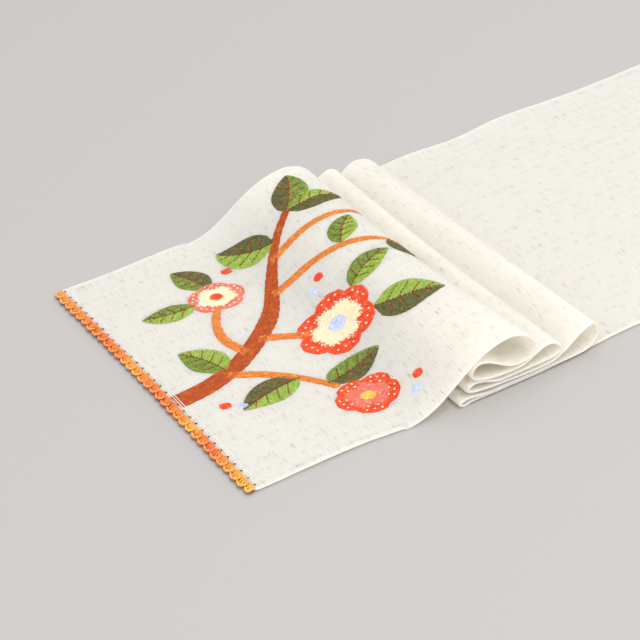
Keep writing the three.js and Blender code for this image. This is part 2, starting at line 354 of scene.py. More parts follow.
# How finely the cloth is divided, with closer rows along its long edges.
clothGrid = {
    "foldSteps": [  # level, climb, over the crest, under it, belly, rise, back over the hump, sole
        (32, 26, 9, 8, 2, 9, 6, 10),
        (2, 10, 6, 7, 10, 7, 6, 15),
        (4, 13, 5, 8, 20, 6, 4, 3),
    ],
    "tailSteps": 160,
    "edgeRows": [0.0, 1.5, 3.5, 6.5, 8.5, 10.0],
    "rowSpacing": 4.0,
    "cornerRadius": 3.5,
    "edgeRounding": 0.45,
    "sharpAngle": 60,
    "smoothAngle": 50,
}
ripples = {"count": 9, "alongRange": (70, 260), "acrossRange": (90, 400), "height": 0.16,
           "tailHeight": 0.5, "tailFrom": 300, "edgeLift": 1.1, "liftWidth": 9.0,
           "edgeWander": 0.35, "wanderRange": (60, 240)}

# The part's own frame has its origin in the middle of the footprint.
clothLow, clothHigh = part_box("runner_cloth")
originX = clothLow.x / mm + runner["stitchInset"] + hemFlare["depth"]
originY = clothHigh.y / mm - halfWidth


def mix(a, b, part):
    return a + (b - a) * part


def smooth(value, start, end):
    part = np.clip((value - start) / (end - start), 0, 1)
    return part * part * (3 - 2 * part)


def hill(distance, halfSize):
    return np.where(np.abs(distance) < halfSize, np.cos(distance / halfSize * math.pi / 2) ** 2, 0)


def hemShift(y):
    reach = (y - hemFlare["fromY"]) / (halfWidth - hemFlare["fromY"])
    return -hemFlare["depth"] * np.maximum(0, reach)


def slipOf(x, end):
    return stackSlip["depth"] * smooth(x, *stackSlip["startX"]) * (1 - smooth(x, *end))


def spot(x, z):
    return np.stack(np.broadcast_arrays(np.asarray(x, float), np.asarray(z, float)), -1)


def bend(a, b, leaving, arriving):
    # one curve from a to b; the last two say how far along x and z its handles reach
    return np.stack([a, a + (b - a) * leaving, b + (a - b) * arriving, b], -2)


def foldedStretches(across):
    # every stretch is one curve for each row: (control points, steps, lies on the table)
    stretches = []
    end = spot(np.full_like(across, -runner["stitchInset"]), runner["solidThickness"] / 2)
    for index, steps in enumerate(clothGrid["foldSteps"]):
        at = {name: mix(near[index], far[index], across) for name, (near, far) in folds.items()}
        bow = foldBows["depths"][index] * np.sin(across * math.pi) ** foldBows["sharpness"]
        foot = spot(at["climbX"], end[..., 1])
        crest, turn, belly = (spot(at[name + "X"] + bow, at[name + "Z"])
                for name in ("crest", "turn", "belly"))
        rise = spot(at["riseX"] + bow, at["bellyZ"])
        hump, corner, sole = (spot(at[name + "X"], at[name + "Z"]) for name in ("hump", "bend", "sole"))
        full, turned = at["fullness"], roundness
        curves = [
            bend(end, foot, 1 / 3, 1 / 3),
            bend(foot, crest, spot(evenApproach, 0), spot(at["approach"], 0)),
            bend(crest, turn, spot(full, 0), spot(0, 1 - full)),
            bend(turn, belly, spot(0, turned), spot(1 - turned, 0)),
            bend(belly, rise, 1 / 3, 1 / 3),
            bend(rise, hump, spot(evenApproach, 0), spot(evenApproach, 0)),
            bend(hump, corner, spot(turned, 0), spot(0, 1 - turned)),
            bend(corner, sole, spot(0, turned), spot(1 - turned, 0)),
        ]
        stretches += [(curve, count, index == order == 0)
                for order, (curve, count) in enumerate(zip(curves, steps))]
        end = sole
    return stretches


def curvePoints(controls, parts):
    # points of one curve per row, shape (rows, parts, 2)
    t = np.asarray(parts)[None, :, None]
    a, b, c, d = (controls[:, None, order] for order in range(4))
    return a * (1 - t) ** 3 + b * 3 * t * (1 - t) ** 2 + c * 3 * t ** 2 * (1 - t) + d * t ** 3


def reachedAlong(line):
    # how far along a line, or along each row of lines, its points lie
    gaps = np.linalg.norm(np.diff(line, axis=-2), axis=-1)
    return np.concatenate([np.zeros((*gaps.shape[:-1], 1)), np.cumsum(gaps, axis=-1)], axis=-1)


def pointsAt(line, places, wanted):
    # the points of one line at the wanted places along it
    return np.stack([np.interp(wanted, places, line[:, axis]) for axis in (0, 1)], -1)


def spreadEvenly(controls, steps):
    # the same curve at even distances along it
    fine = curvePoints(controls, np.linspace(0, 1, 81))
    return np.array([pointsAt(line, reached, np.linspace(0, reached[-1], steps + 1))
            for line, reached in zip(fine, reachedAlong(fine))])


def rowPlaces():
    edges = clothGrid["edgeRows"]
    inner = halfWidth - edges[-1]
    middle = np.linspace(-inner, inner, int(2 * inner / clothGrid["rowSpacing"]) + 1)
    return np.concatenate([[place - halfWidth for place in edges[:-1]], middle,
            [halfWidth - place for place in edges[-2::-1]]])


def layOutCloth():
    # the middle of the cloth's thickness as a grid of points, and where each lies on the flat cloth
    halfway = foldedStretches(np.array([0.5]))
    used = sum(reachedAlong(curvePoints(curve, np.linspace(0, 1, 400)))[0, -1] for curve, _, _ in halfway)
    endHemX = halfway[-1][0][0, 3, 0] + runner["length"] - used
    rows = rowPlaces()
    across = rows / runner["width"] + 0.5
    stretches = foldedStretches(across)
    sole = stretches[-1][0][:, 3]
    endHem = spot(np.full_like(across, endHemX), sole[:, 1])
    stretches.append((bend(sole, endHem, 1 / 3, 1 / 3), clothGrid["tailSteps"], True))
    lines = []
    onTable = []
    for order, (controls, steps, level) in enumerate(stretches):
        skip = min(order, 1)  # a stretch starts where the one before it ends
        lines.append(spreadEvenly(controls, steps)[:, skip:])
        onTable += [level] * (steps + 1 - skip)
    section = np.concatenate(lines, axis=1)
    path = reachedAlong(section) - runner["stitchInset"]
    x, z = section[..., 0], section[..., 1]
    flatY = rows[:, None] + 0 * x
    level = np.array(onTable)[None, :]
    slip = np.where(level, slipOf(x, stackSlip["levelEndX"]), slipOf(x, stackSlip["foldedEndX"]))
    drawn = sum(depth * hill(x - at, halfLength) for at, depth, halfLength in draws) * across[:, None]
    lifted = sum(rise * hill(x - atX, halfLong) * hill(flatY - atY, halfWide)
            for atX, atY, rise, halfLong, halfWide in lifts)
    flare = hemShift(flatY) * (1 - smooth(x, 0, hemFlare["endX"]))
    points = np.stack([x + np.where(level, flare, 0), flatY - slip - np.where(level, drawn, 0),
            z + np.where(level, lifted, 0)], -1)
    return points, path, rows, level, endHemX


def normalsOf(points):
    normals = np.cross(np.gradient(points, axis=1), np.gradient(points, axis=0))
    return normals / np.linalg.norm(normals, axis=2, keepdims=True)


def addUnevenness(points, path, rows, level):
    # faint ripples square to the cloth, all upwards where it lies on the table, and edges that wander
    wave = np.zeros(path.shape)
    edge = np.zeros(path.shape)
    for _ in range(ripples["count"]):
        lengthAlong = chance.uniform(*ripples["alongRange"])
        lengthAcross = chance.uniform(*ripples["acrossRange"])
        phase = chance.uniform(0, 2 * math.pi)
        wave += np.sin(2 * math.pi * (path / lengthAlong + rows[:, None] / lengthAcross) + phase)
        wander = chance.uniform(*ripples["wanderRange"])
        edge += np.sin(2 * math.pi * path / wander + chance.uniform(0, 2 * math.pi))
    wave /= ripples["count"] ** 0.5
    edge /= ripples["count"] ** 0.5
    tail = level & (path > ripples["tailFrom"])
    height = np.where(tail, ripples["tailHeight"], ripples["height"])
    height = height * np.where(level, np.maximum(wave, 0), wave)
    fromSide = halfWidth - np.abs(rows)[:, None]
    height += np.where(level, ripples["edgeLift"] * (1 - smooth(fromSide, 0, ripples["liftWidth"])), 0)
    moved = points + normalsOf(points) * height[..., None]
    outward = (rows / halfWidth)[:, None]
    wander = ripples["edgeWander"] * (1 - np.abs(np.clip(edge, -1, 1)))
    moved[..., 1] -= wander * outward * np.abs(outward) ** 3
    return moved


def roundCorners(points, path, rows):
    # each corner of the cloth is turned in on a small radius
    radius = clothGrid["cornerRadius"]
    for fromEnd, alongSign in ((path - path[:, :1], 1), (path[:, -1:] - path, -1)):
        for side in (-1, 1):
            a = np.clip(1 - fromEnd / radius, 0, 1)
            b = np.clip(1 - (halfWidth - side * rows[:, None]) / radius, 0, 1) + 0 * a
            longest, reach = np.maximum(a, b), np.hypot(a, b)
            factor = np.where(reach > 0, longest / np.maximum(reach, 1e-6), 1)
            points[..., 0] += alongSign * a * (1 - factor) * radius
            points[..., 1] -= side * b * (1 - factor) * radius
    return points


rowStride = 10000.0  # far more than the cloth is long


def keepSurface(points, path, rows):
    # what the stitches are later laid on: any place on the cloth, by its distance along and across
    return {"points": points, "normals": normalsOf(points), "path": path, "rows": rows,
            "keys": (path + np.arange(len(rows))[:, None] * rowStride).ravel()}


def ontoCloth(surface, along, across, height):
    along, across = np.broadcast_arrays(along, across)
    columnCount = surface["path"].shape[1]
    place = np.interp(across, surface["rows"], np.arange(len(surface["rows"])))
    low = np.clip(place.astype(int), 0, len(surface["rows"]) - 2)
    part = (place - low)[..., None]
    found = []
    for row in (low, low + 1):
        column = np.searchsorted(surface["keys"], along + row * rowStride) - 1 - row * columnCount
        column = np.clip(column, 0, columnCount - 2)
        start, end = surface["path"][row, column], surface["path"][row, column + 1]
        step = ((along - start) / (end - start))[..., None]
        found.append([mix(surface[name][row, column], surface[name][row, column + 1], step)
                for name in ("points", "normals")])
    point, normal = (mix(a, b, part) for a, b in zip(*found))
    normal = normal / np.linalg.norm(normal, axis=-1, keepdims=True)
    return point + normal * np.asarray(height)[..., None]


def toPart(points):
    # from the cloth's own millimetres to metres in the part's frame
    return (points + np.array([originX, originY, 0.0])) * mm


def setUv(mesh, perVertex):
    corners = np.zeros(len(mesh.loops), int)
    mesh.loops.foreach_get("vertex_index", corners)
    layer = mesh.uv_layers.get("UVMap") or mesh.uv_layers.new(name="UVMap")
    layer.uv.foreach_set("vector", perVertex[corners].astype(np.float32).ravel())


def makeCloth(surface):
    # a flat grid as the cloth was cut, folded along its section, then given its thickness
    rowCount, columnCount = surface["path"].shape
    deselectAll()
    bpy.ops.mesh.primitive_grid_add(x_subdivisions=columnCount - 1, y_subdivisions=rowCount - 1, size=1)
    cloth = bpy.context.object
    cloth.name = "cloth"
    mesh = cloth.data
    places = np.array([vertex.co for vertex in mesh.vertices])
    column = np.rint((places[:, 0] + 0.5) * (columnCount - 1)).astype(int)
    row = np.rint((places[:, 1] + 0.5) * (rowCount - 1)).astype(int)
    mesh.vertices.foreach_set("co", toPart(surface["points"][row, column]).ravel())
    setUv(mesh, np.stack([surface["path"][row, column], surface["rows"][row]], -1))
    solidify = cloth.modifiers.new("Solidify", "SOLIDIFY")
    solidify.thickness = runner["thickness"] * mm
    solidify.offset = 0.0
    solidify.use_even_offset = True
    bpy.ops.object.modifier_apply(modifier=solidify.name)
    bpy.ops.object.mode_set(mode="EDIT")
    bpy.ops.mesh.select_mode(type="EDGE")
    bpy.ops.mesh.select_all(action="DESELECT")
    bpy.ops.mesh.edges_select_sharp(sharpness=math.radians(clothGrid["sharpAngle"]))
    bpy.ops.mesh.bevel(offset=clothGrid["edgeRounding"] * mm, segments=2, affect="EDGES")
    bpy.ops.object.mode_set(mode="OBJECT")
    bpy.ops.object.shade_smooth_by_angle(angle=math.radians(clothGrid["smoothAngle"]))
    mesh.materials.append(makeLinen())
    return cloth


points, path, rows, level, endHemX = layOutCloth()
points = roundCorners(addUnevenness(points, path, rows, level), path, rows)
surface = keepSurface(points, path, rows)
cloth = makeCloth(surface)
clothLength = float(path.mean(axis=0)[-1])
print("cloth folded:", len(cloth.data.polygons), "faces")


# Thread and yarn. One strand is modelled and its copies are laid from place to place.

def takeShape(model):
    # the corners and faces of a model that is there only to be copied
    shape = np.array([vertex.co for vertex in model.data.vertices])
    faces = [list(polygon.vertices) for polygon in model.data.polygons]
    bpy.data.objects.remove(model, do_unlink=True)
    return shape, faces


def modelStrand(sides, stations, keepLower):
    # a straight bar along x, one long and one wide, cut at the stations; its upper half if it lies on cloth
    deselectAll()
    bpy.ops.mesh.primitive_cylinder_add(vertices=sides, radius=0.5, depth=1, rotation=(0, math.pi / 2, 0),
            end_fill_type="NGON" if keepLower else "NOTHING")
    bpy.ops.object.transform_apply(location=False, rotation=True, scale=False)
    bpy.ops.object.mode_set(mode="EDIT")
    cuts = [((station, 0, 0), (1, 0, 0), False) for station in stations]
    if not keepLower:
        cuts.append(((0, 0, 0), (0, 0, 1), True))
    for place, facing, clear in cuts:
        bpy.ops.mesh.select_all(action="SELECT")
        bpy.ops.mesh.bisect(plane_co=place, plane_no=facing, clear_inner=clear)
    bpy.ops.mesh.select_all(action="SELECT")
    bpy.ops.mesh.normals_make_consistent(inside=False)
    bpy.ops.object.mode_set(mode="OBJECT")
    strand = bpy.context.object
    facesDown = not keepLower and sum(polygon.normal.z for polygon in strand.data.polygons) < 0
    shape, faces = takeShape(strand)
    return shape, [face[::-1] for face in faces] if facesDown else faces


def pieceOf(name, faces, positions, uv, tone=None):
    # positions (copies, corners, 3) in metres: one mesh of all the copies of a shape
    copies, corners = positions.shape[:2]
    starts = np.arange(copies) * corners
    mesh = bpy.data.meshes.new(name)
    allFaces = [[start + corner for corner in face] for start in starts.tolist() for face in faces]
    mesh.from_pydata(positions.reshape(-1, 3).tolist(), [], allFaces)
    setUv(mesh, uv.reshape(-1, 2))
    # a random tone for each thread stitch, and for yarn the level that sets its painted shade and highlight
    if tone is not None:
        attribute = mesh.attributes.new("stitchToneAndShadeLevel", "FLOAT", "POINT")
        perCorner = np.broadcast_to(tone.reshape(copies, -1), (copies, corners))
        attribute.data.foreach_set("value", perCorner.astype(np.float32).ravel())
    mesh.polygons.foreach_set("use_smooth", np.ones(len(mesh.polygons), bool))
    mesh.update()
    piece = bpy.data.objects.new(name, mesh)
    bpy.context.scene.collection.objects.link(piece)
    return piece


stitchShape, stitchFaces = modelStrand(6, (-0.3, 0.3), False)
yarnShape, yarnFaces = modelStrand(7, (-0.4, -0.2, 0.0, 0.2, 0.4), True)
stitchForm = {"overlap": 0.25, "endWidth": 0.6, "endHeight": 0.35, "endSink": 0.12, "sink": 0.03,
              "widthRange": (0.92, 1.12), "heightRange": (0.85, 1.15)}


def sewStitches(name, stitches):
    # lays the arched half bar along each stitch: (start, end, width, height, lift)
    starts, ends = (np.array([stitch[part] for stitch in stitches], float) for part in (0, 1))
    width, height, lift = np.array([stitch[2:] for stitch in stitches], float).T[..., None]
    count = len(stitches)
    run = ends - starts
    length = np.linalg.norm(run, axis=1)[:, None]
    ahead = run / length
    beside = np.stack([-ahead[:, 1], ahead[:, 0]], -1)
    tx, ty, tz = stitchShape.T
    atEnd = np.abs(tx) > 0.45
    reach = tx * (length + stitchForm["overlap"])
    sideways = ty * width * chance.uniform(*stitchForm["widthRange"], (count, 1))
    sideways = sideways * np.where(atEnd, stitchForm["endWidth"], 1.0)
    flat = (mix(starts, ends, 0.5)[:, None] + ahead[:, None] * reach[..., None]
            + beside[:, None] * sideways[..., None])
    up = tz * 2 * height * chance.uniform(*stitchForm["heightRange"], (count, 1))
    up = up * np.where(atEnd, stitchForm["endHeight"], 1.0)
    up = up + lift - np.where(atEnd, stitchForm["endSink"], stitchForm["sink"])
    positions = ontoCloth(surface, flat[..., 0], flat[..., 1], runner["thickness"] / 2 + up)
    return pieceOf(name, stitchFaces, toPart(positions), np.stack([reach, sideways], -1),
            chance.uniform(0, 1, count))


def smoothLine(points, count):
    # an even curve through the given points
    points = np.asarray(points, float)
    padded = np.vstack([2 * points[0] - points[1], points, 2 * points[-1] - points[-2]])
    places = np.linspace(0, len(points) - 1 - 1e-6, count)
    index = places.astype(int)
    t = (places - index)[:, None]
    a, b, c, d = (padded[index + step] for step in range(4))
    line = 0.5 * (2 * b + (c - a) * t + (2 * a - 5 * b + 4 * c - d) * t ** 2
            + (3 * b - a - 3 * c + d) * t ** 3)
    for _ in range(count // 2):  # takes out the last kinks
        line[1:-1] = line[1:-1] * 0.5 + (line[:-2] + line[2:]) * 0.25
    return line


embroidery = {
    "pitch": 0.72,  # distance between rows of thread
    "top": {"width": 0.86, "height": 0.38, "lift": 0.0},
    "padding": {"width": 2.3, "height": 0.16, "lift": 0.06},  # wide, flat stitches under the top ones
    "paddingRows": 2,  # one padding row under so many top rows
    "paddingStitch": 8.0,
    "paddingInset": 0.9,
    "vein": {"width": 0.95, "height": 0.42, "lift": 0.34},
    "hem": {"width": 0.6, "height": 0.24, "lift": 0.34},
    "stemStitch": 5.2,
    "leafStitch": 4.0,
    "petalStitch": 4.4,
    "discStitch": 6.0,
    "veinStitch": 3.0,
    "veinSewn": 0.72,  # the part of each vein stitch that shows; the rest is a gap
    "leastEnd": 0.3,  # of a stitch: a shorter end joins the stitch before it
    "leastStitch": 0.3,
    "narrowing": 0.55,  # of a pitch: every other row of a stem stops where its rows come closer than this
    "discSpacing": 0.9,  # in pitches
    "discMargin": 0.3,
}
sewn = {name: [] for name in threadColours}


def cutIntoStitches(line, stitch, stagger):
    # one row of thread, cut into stitches that meet end to end
    reached = reachedAlong(line)
    least = embroidery["leastEnd"] * stitch
    cuts = np.arange(stagger * stitch, reached[-1], stitch)
    cuts = cuts[(cuts > least) & (cuts < reached[-1] - least)]
    spots = pointsAt(line, reached, np.concatenate([[0], cuts, [reached[-1]]]))
    return [(a, b) for a, b in zip(spots[:-1], spots[1:])
            if np.linalg.norm(b - a) > embroidery["leastStitch"]]


def sew(thread, line, stitch, kind="top", stagger=None, sewnPart=1.0):
    # adds one row of stitches in a thread; sewnPart leaves a gap after each
    form = embroidery[kind]
    if stagger is None:
        stagger = chance.uniform(0, 1)
    for start, end in cutIntoStitches(line, stitch, stagger):
        sewn[thread].append((start, mix(start, end, sewnPart), form["width"], form["height"], form["lift"]))


def sewRow(thread, line, stitch, order):
    # a top row, and padding under every other one
    sew(thread, line, stitch)
    inset = embroidery["paddingInset"] / max(reachedAlong(line)[-1], 0.1)
    if order % embroidery["paddingRows"] == 0 and inset < 0.3:
        kept = np.linspace(inset, 1 - inset, max(len(line) // 3, 2))
        under = pointsAt(line, np.linspace(0, 1, len(line)), kept)
        sew(thread, under, embroidery["paddingStitch"], "padding")


def besideOf(line):
    # the direction square to a line, at each of its points
    ahead = np.gradient(line, axis=0)
    ahead /= np.linalg.norm(ahead, axis=1, keepdims=True)
    return np.stack([-ahead[:, 1], ahead[:, 0]], -1)


def facing(heading):
    angle = math.radians(heading)
    return np.array([math.cos(angle), math.sin(angle)]), np.array([-math.sin(angle), math.cos(angle)])


def sewStem(thread, widths, points):
    # rows that follow the stem's edges
    line = smoothLine(points, 160)
    half = np.interp(np.linspace(0, 1, len(line)), np.linspace(0, 1, len(widths)), widths) / 2
    rowCount = int(2 * half.max() / embroidery["pitch"])
    for order in range(rowCount + 1):
        row = line + besideOf(line) * ((2 * order / rowCount - 1) * half)[:, None]
        if order % 2:  # every other row stops where the stem narrows
            row = row[2 * half / rowCount > embroidery["pitch"] * embroidery["narrowing"]]
        sewRow(thread, row, embroidery["stemStitch"], order)


leafForm = {
    "fullestPower": 0.86,  # puts the widest place before the middle
    "outlinePower": 0.8,
    "rowSpacing": 1.35,  # in pitches, because the rows slant
    "slant": 0.17,  # how far along the leaf a row runs forward
    "tipSteepness": 6,
    "leastReach": 0.6,
    "veins": (0.2, 0.38, 0.56, 0.74),
    "veinSlant": 0.13,
    "veinReach": 0.82,
}


def leafOutline(leaf):
    # the leaf's midrib as a bent line from its base, and its half width along it
    part = np.linspace(0, 1, 61)
    angle = math.radians(leaf["heading"]) + math.radians(leaf["bend"]) * (part - 0.5)
    step = np.stack([np.cos(angle), np.sin(angle)], -1) * leaf["length"] / 60
    midrib = np.array([leaf["x"], leaf["y"]]) + np.concatenate([[[0, 0]], np.cumsum(step[:-1], axis=0)])
    bulge = np.sin(math.pi * part ** leafForm["fullestPower"]) ** leafForm["outlinePower"]
    half = leaf["width"] / 2 * bulge
    return part, midrib, half


def sewLeaf(leaf):
    # rows slant forward from the midrib to the edge, each half in its own thread, and veins lie over them
    part, midrib, half = leafOutline(leaf)
    toEdge = besideOf(midrib) * half[:, None]
    rowCount = int(leaf["length"] / (embroidery["pitch"] * leafForm["rowSpacing"]))
    for side, thread in ((1, leaf["left"]), (-1, leaf["right"])):
        for order in range(rowCount):
            start = order / rowCount
            end = start + leafForm["slant"] * (1 - start) * min(1, leafForm["tipSteepness"] * (1 - start))
            if np.interp(end, part, half) >= leafForm["leastReach"]:
                tip = pointsAt(midrib + side * toEdge, part, end)
                row = np.linspace(pointsAt(midrib, part, start), tip, 12)
                sewRow(thread, row, embroidery["leafStitch"], order)
    ribs = [midrib[:58]]
    for place in leafForm["veins"]:
        for side in (leafForm["veinReach"], -leafForm["veinReach"]):
            tip = pointsAt(midrib + side * toEdge, part, place + leafForm["veinSlant"])
            ribs.append(np.linspace(pointsAt(midrib, part, place), tip, 8))
    for rib in ribs:
        sew("vein", rib, embroidery["veinStitch"], "vein", 0.0, embroidery["veinSewn"])


petalForm = {
    "from": 0.2,  # of the blossom's radius, as are the rings of knots and the eye
    "outlineStretch": 0.82,
    "outlineStart": 0.16,
    "outlinePower": 0.62,
    "tipRounding": 0.10,
    "raggedness": 0.09,
    "knots": ((0.62, (-0.28, 0.28)), (0.80, (-0.42, 0.0, 0.42))),
    "eye": 0.24,
}
knotPlaces = []


def sewPetal(blossom, centre, heading):
    # rows run outwards from the blossom's middle; the inner thread's rows end unevenly in the outer one's
    outer = blossom["radius"]
    inner = outer * petalForm["from"]
    part = np.linspace(0, 1, 41)
    along = mix(inner, outer, part)
    bulge = np.sin(math.pi * np.clip(part * petalForm["outlineStretch"] + petalForm["outlineStart"], 0, 1))
    half = blossom["petalWidth"] / 2 * bulge ** petalForm["outlinePower"]
    ahead, beside = facing(heading)
    count = int(blossom["petalWidth"] / embroidery["pitch"])
    for order in range(count + 1):
        across = (order / count - 0.5) * 2
        row = centre + ahead * along[:, None] + beside * (half * across)[:, None]
        row = row[along <= outer - (outer - inner) * petalForm["tipRounding"] * across ** 2]
        ragged = chance.uniform(-petalForm["raggedness"], petalForm["raggedness"])
        split = int(len(row) * (blossom["innerPart"] + ragged))
        for thread, stretch in zip(blossom["threads"][::-1], (row[:split], row[split:])):
            if len(stretch) > 3:
                sewRow(thread, stretch, embroidery["petalStitch"], order)


def sewDisc(thread, centre, radius, heading):
    # satin stitches side by side across a round shape
    ahead, beside = facing(heading)
    spacing = embroidery["pitch"] * embroidery["discSpacing"]
    for order, offset in enumerate(np.arange(-radius + embroidery["discMargin"], radius, spacing)):
        chord = math.sqrt(radius ** 2 - offset ** 2)
        middle = centre + beside * offset
        row = np.linspace(middle - ahead * chord, middle + ahead * chord, 12)
        sewRow(thread, row, embroidery["discStitch"], order)


def sewBlossom(blossom):
    centre = np.array([blossom["x"], blossom["y"]])
    for order in range(blossom["petals"]):
        heading = blossom["turn"] + order * 360 / blossom["petals"]
        sewPetal(blossom, centre, heading)
        ahead, beside = facing(heading)
        for ring, across in petalForm["knots"]:
            middle = centre + ahead * blossom["radius"] * ring
            knotPlaces.extend(middle + beside * blossom["petalWidth"] / 2 * sideways for sideways in across)
    sewDisc(blossom["eye"], centre, blossom["radius"] * petalForm["eye"], blossom["turn"])


# The motif: a flowering branch that grows from the hem, in the thread colours of such country work.
stems = [  # thread, widths from foot to tip, and places along the middle
    ("stem", [17, 16, 14.5, 13, 11, 9, 7, 5],
     [(1, -35), (28, -32), (58, -19), (86, 4), (108, 32), (124, 62), (146, 90), (172, 110)]),
    ("twig", [7, 6, 5, 4.5], [(44, -27), (66, -46), (84, -68), (98, -92)]),
    ("twig", [7.5, 6.5, 6], [(82, 0), (100, -10), (116, -20)]),
    ("twig", [7, 6, 5, 4.5], [(68, -12), (62, 16), (68, 42), (80, 62)]),
    ("twig", [6.5, 5.5, 5, 4.5, 3.5], [(116, 46), (146, 42), (176, 30), (204, 14), (236, 4)]),
    ("twig", [6, 5, 4.5, 3.5], [(134, 78), (168, 76), (204, 70), (240, 76)]),
]
leafFields = ("x", "y", "heading", "length", "width", "bend", "left", "right")
leaves = [
    (46, -22, 112, 48, 28, 26, "leafMid", "leafLight"),
    (82, -66, -168, 50, 30, 28, "leafLight", "leafDark"),
    (94, -84, 6, 46, 27, -24, "leafMid", "leafDark"),
    (158, -48, -32, 54, 33, 26, "leafLight", "leafDark"),
    (158, -14, 14, 42, 25, -22, "leafMid", "leafLight"),
    (178, 32, 52, 38, 23, -22, "leafMid", "leafLight"),
    (170, 108, 62, 50, 30, 26, "leafDark", "leafMid"),
    (172, 108, -4, 46, 27, 22, "leafLight", "leafDark"),
    (146, 92, 132, 54, 33, -28, "leafLight", "leafDark"),
    (84, 90, 108, 42, 25, 22, "leafMid", "leafDark"),
    (66, 74, 168, 40, 24, -22, "leafLight", "leafMid"),
    (206, 12, -56, 40, 25, 22, "leafLight", "leafDark"),
    (234, 4, -6, 40, 24, 20, "leafMid", "leafDark"),
    (238, 76, 24, 42, 25, 20, "leafLight", "leafDark"),
]
blossoms = [
    {"x": 132, "y": -30, "radius": 33, "petals": 6, "turn": 12, "petalWidth": 29,
     "threads": ("petalRed", "cream"), "innerPart": 0.46, "eye": "paleBlue"},
    {"x": 108, "y": -114, "radius": 23, "petals": 5, "turn": 40, "petalWidth": 24,
     "threads": ("petalRed", "petalRose"), "innerPart": 0.45, "eye": "yellow"},
    {"x": 84, "y": 74, "radius": 22, "petals": 5, "turn": 5, "petalWidth": 23,
     "threads": ("petalRose", "cream"), "innerPart": 0.5, "eye": "petalRed"},
]
berries = [  # x, y, radius and thread
    (26, -62, 4.2, "petalRed"), (36, -70, 3.8, "paleBlue"), (148, 22, 4.0, "petalRed"),
    (138, 16, 3.6, "paleBlue"), (106, 104, 4.2, "petalRed"), (142, -128, 4.0, "petalRed"),
    (134, -138, 3.8, "paleBlue"),
]
berryHeading = 35

for stem in stems:
    sewStem(*stem)
for leaf in leaves:
    sewLeaf(dict(zip(leafFields, leaf)))
for blossom in blossoms:
    sewBlossom(blossom)
for x, y, radius, thread in berries:
    sewDisc(thread, np.array([x, y]), radius, berryHeading)

# Two close rows of hem stitches inside each short hem.
hemStitches = {"fromEdge": (4.7, 6.5), "fromSide": 2.0, "stitch": 3.4, "sewnPart": 0.86}

for fromEdge in hemStitches["fromEdge"]:
    for along in (fromEdge - runner["stitchInset"], clothLength - fromEdge):
        reach = halfWidth - hemStitches["fromSide"]
        line = np.array([(along, y) for y in np.linspace(-reach, reach, 60)])
        sew("hemThread", line, hemStitches["stitch"], "hem", 0.0, hemStitches["sewnPart"])

stitchPieces = []
for name, stitches in sewn.items():
    piece = sewStitches("stitches_" + name, stitches)
    piece.data.materials.append(makeThread(name))
    stitchPieces.append(piece)
    print("sewn:", name, len(stitches), "stitches")

# Raised knots on the petals, each one turn of thread.
petalKnot = {"sizeRange": (1.7, 2.3), "middle": 0.45, "height": 0.9}


def scatter(name, places, size, lift, thickness, tone=None):
    # lays a copy of the object just made at every place on the cloth
    shape, faces = takeShape(bpy.context.object)
    uv = shape[None, :, :2] * size[:, None]
    flat = places[:, None] + uv
    up = runner["thickness"] / 2 + lift + shape[:, 2] * thickness + 0 * flat[..., 0]
    return pieceOf(name, faces, toPart(ontoCloth(surface, flat[..., 0], flat[..., 1], up)), uv, tone)


def sewKnots():
    deselectAll()
    bpy.ops.mesh.primitive_ico_sphere_add(subdivisions=1, radius=0.5)
    count = len(knotPlaces)
    size = chance.uniform(*petalKnot["sizeRange"], (count, 1))
    tone = chance.uniform(0, 1, count)
    piece = scatter("stitches_knots", np.array(knotPlaces), size,
            petalKnot["middle"], petalKnot["height"], tone)
    piece.data.materials.append(makeThread("cream"))
    return piece


stitchPieces.append(sewKnots())
print("knots:", len(knotPlaces))


# Crochet edging: 33 leaning shells along each short hem. Each is worked into one hole in the cloth: posts
# of two legs fan out from it, wraps cross them, and a double chain runs round the rim.
shell = {
    "count": 33,
    "posts": [  # where each starts and ends: along the hem and outwards, then again
        (-2.6, 1.0, -5.4, 4.6), (-0.9, 0.2, -2.2, 7.0), (0.9, 0.2, 1.8, 7.3), (2.6, 1.0, 5.4, 5.6),
        (3.6, 2.0, 6.7, 4.2),
    ],
    "footHeight": 1.75,
    "topHeight": 1.35,
    "postRadius": 0.66,
    "legSpread": 0.52,
    "footSpread": 0.8,  # of the legs' spread at the top
    "wraps": (0.2, 0.62),  # where they cross a post
    "wrapRadius": 0.56,
    "wrapRise": 0.55,
    "wrapHalf": (0.7, 0.9, 0.2),  # half its length along the hem and outwards, and how far its ends dip
    "wrapSpread": 0.4,
    "chainRadius": 0.74,
    "chainCount": 6,
    "chainInsets": (0.0, 0.95),
    "chainOverlap": 6,  # degrees
    "chainEnd": 0.45,  # how far each chain's end is drawn in
    "chainHeight": 1.3,
    "innerRise": 0.35,
    "rimAngle": 84,
    "rimHalfWidth": 6.9,
    "rimFrom": 2.7,
    "rimReach": 5.8,
    # raises the rim chains' level, which widens their painted highlight
    "rimPaintedHighlight": 0.1,
    "arch": 0.45,
    "wrapArch": 0.35,
    "lean": 4.6,  # how far the rim lies along the hem from the hole
    "leanOver": 9.0,
    "leanBack": 3,  # the hole lies a third of the lean behind the shell's middle
    "cup": 0.17,  # how much the leaning side stands up
    "standsFrom": 1,
    "lowest": 0.72,
    "fromSide": 0.8,
    "sizeRange": (0.95, 1.04),
    "endSize": 0.9,
    "turn": 5,
    "cupRange": (0.7, 1.3),
    "shift": 0.25,
    "outwardShift": 0.2,  # of the shift
    "unevenness": 0.10,
    "heightLimits": (0.04, 3.8),
    "strandEnds": (0.45, 0.85),  # how wide a strand is at its end and just before it
    "strandOverlap": 0.5,
}
shellPitch = runner["width"] / shell["count"]


